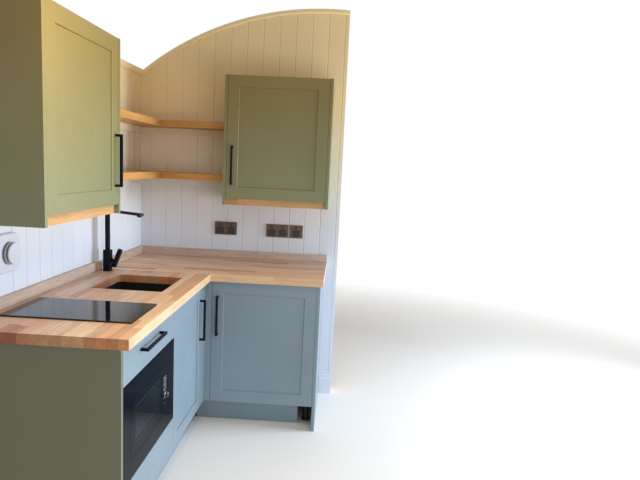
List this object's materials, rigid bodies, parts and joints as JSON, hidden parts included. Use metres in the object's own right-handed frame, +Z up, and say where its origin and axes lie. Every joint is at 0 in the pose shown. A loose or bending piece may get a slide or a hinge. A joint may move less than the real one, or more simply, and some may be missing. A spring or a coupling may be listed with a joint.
{
  "type": "corner kitchenette",
  "caption": "L-shaped fitted kitchenette of a small arched-roof hut on its two boarded walls, with sink, hob, built-in microwave oven, wall cupboards and corner shelves",
  "frame": {"origin": "on the floor, under the middle of the whole piece", "axes": "+X to the right along the back wall, +Y away from the room into the back wall, +Z up"},
  "size_m": [1.435, 1.89, 2.5179],
  "materials": {
    "painted_front": "satin",
    "lining_boards": "satin",
    "painted_trim": "satin",
    "worktop_wood": "oiled",
    "shelf_wood": "oiled",
    "cabinet_board": "matt",
    "black_metal": "matt",
    "black_composite": "matt",
    "black_glass": "gloss",
    "black_case": "satin",
    "steel": "brushed",
    "bronze_plate": "satin",
    "white_plastic": "gloss"
  },
  "bodies": {
    "kitchenette": {"back_wall": "lining_boards", "back_worktop": "worktop_wood", "base_unit_backs": "cabinet_board", "base_unit_sides": "cabinet_board", "cabinet_boards": "cabinet_board", "cabinet_legs": "black_composite", "cabinet_shelves": "cabinet_board", "ceiling_beads": "painted_trim", "corner_blind_panel": "cabinet_board", "corner_post": "painted_front", "corner_shelves": "shelf_wood", "drawer_runners": "steel", "end_panels": "painted_front", "fan_cap": "white_plastic", "fan_cover": "white_plastic", "fan_neck": "white_plastic", "hob_box": "black_case", "hob_plate": "black_glass", "left_wall_far": "lining_boards", "left_wall_near": "lining_boards", "left_worktop": "worktop_wood", "microwave_case": "black_case", "microwave_controls": "black_glass", "microwave_trim": "black_glass", "panel_below_oven": "painted_front", "plinths": "painted_front", "shelf_battens": "painted_trim", "sink_bowl": "black_composite", "sink_trap": "white_plastic", "sink_waste": "steel", "socket_plates": "bronze_plate", "tap_body": "black_metal", "upstands": "worktop_wood", "wall_unit_backs": "cabinet_board", "wall_unit_oak_boards": "shelf_wood", "wall_unit_sides": "painted_front", "wall_unit_tops": "painted_front"},
    "corner_door": {"corner_door": "painted_front", "corner_door_handle": "black_metal"},
    "back_door": {"back_door": "painted_front", "back_door_handle": "black_metal"},
    "left_wall_door": {"left_wall_door": "painted_front", "left_wall_door_handle": "black_metal"},
    "back_wall_door": {"back_wall_door": "painted_front", "back_wall_door_handle": "black_metal"},
    "drawer": {"drawer_front": "painted_front", "drawer_handle": "black_metal", "drawer_sides": "cabinet_board", "drawer_back_board": "cabinet_board", "drawer_floor_board": "cabinet_board"},
    "microwave_door": {"microwave_door": "black_glass", "microwave_window": "black_glass"},
    "microwave_knob": {"microwave_knob": "black_metal"},
    "tap_spout": {"tap_spout": "black_metal"},
    "tap_stem": {"tap_stem": "black_metal"},
    "tap_lever": {"tap_lever": "black_metal"}
  },
  "joints": [
    {"name": "corner_door_hinge", "type": "hinge", "parent": "kitchenette", "child": "corner_door", "pos_m": [-0.0215, -0.2945, 0.506], "axis": [0, 0, -1], "range_deg": [0, 90]},
    {"name": "back_door_hinge", "type": "hinge", "parent": "kitchenette", "child": "back_door", "pos_m": [0.61, 0.285, 0.506], "axis": [0, 0, 1], "range_deg": [0, 90]},
    {"name": "left_wall_door_hinge", "type": "hinge", "parent": "kitchenette", "child": "left_wall_door", "pos_m": [-0.2785, -0.9065, 1.685], "axis": [0, 0, -1], "range_deg": [0, 90]},
    {"name": "back_wall_door_hinge", "type": "hinge", "parent": "kitchenette", "child": "back_wall_door", "pos_m": [0.622, 0.526, 1.685], "axis": [0, 0, 1], "range_deg": [0, 90]},
    {"name": "drawer_slide", "type": "slide", "parent": "kitchenette", "child": "drawer", "axis": [1, 0, 0], "range_m": [0, 0.4]},
    {"name": "microwave_door_hinge", "type": "hinge", "parent": "kitchenette", "child": "microwave_door", "pos_m": [-0.0215, -0.825, 0.518], "axis": [0, 0, -1], "range_deg": [0, 90]},
    {"name": "microwave_knob_turn", "type": "hinge", "parent": "kitchenette", "child": "microwave_knob", "pos_m": [-0.0175, -0.42725, 0.493], "axis": [1, 0, 0], "range_deg": [-150, 150]},
    {"name": "tap_spout_swivel", "type": "hinge", "parent": "kitchenette", "child": "tap_spout", "pos_m": [-0.5485, 0.194, 1.245], "axis": [0, 0, 1], "range_deg": [-60, 108]},
    {"name": "tap_stem_turn", "type": "hinge", "parent": "kitchenette", "child": "tap_stem", "pos_m": [-0.5245, 0.194, 0.97], "axis": [1, 0, 0], "range_deg": [-45, 45]},
    {"name": "tap_lever_tilt", "type": "hinge", "parent": "tap_stem", "child": "tap_lever", "pos_m": [-0.5105, 0.194, 0.97], "axis": [0, 1, 0], "range_deg": [-21, 0]}
  ]
}
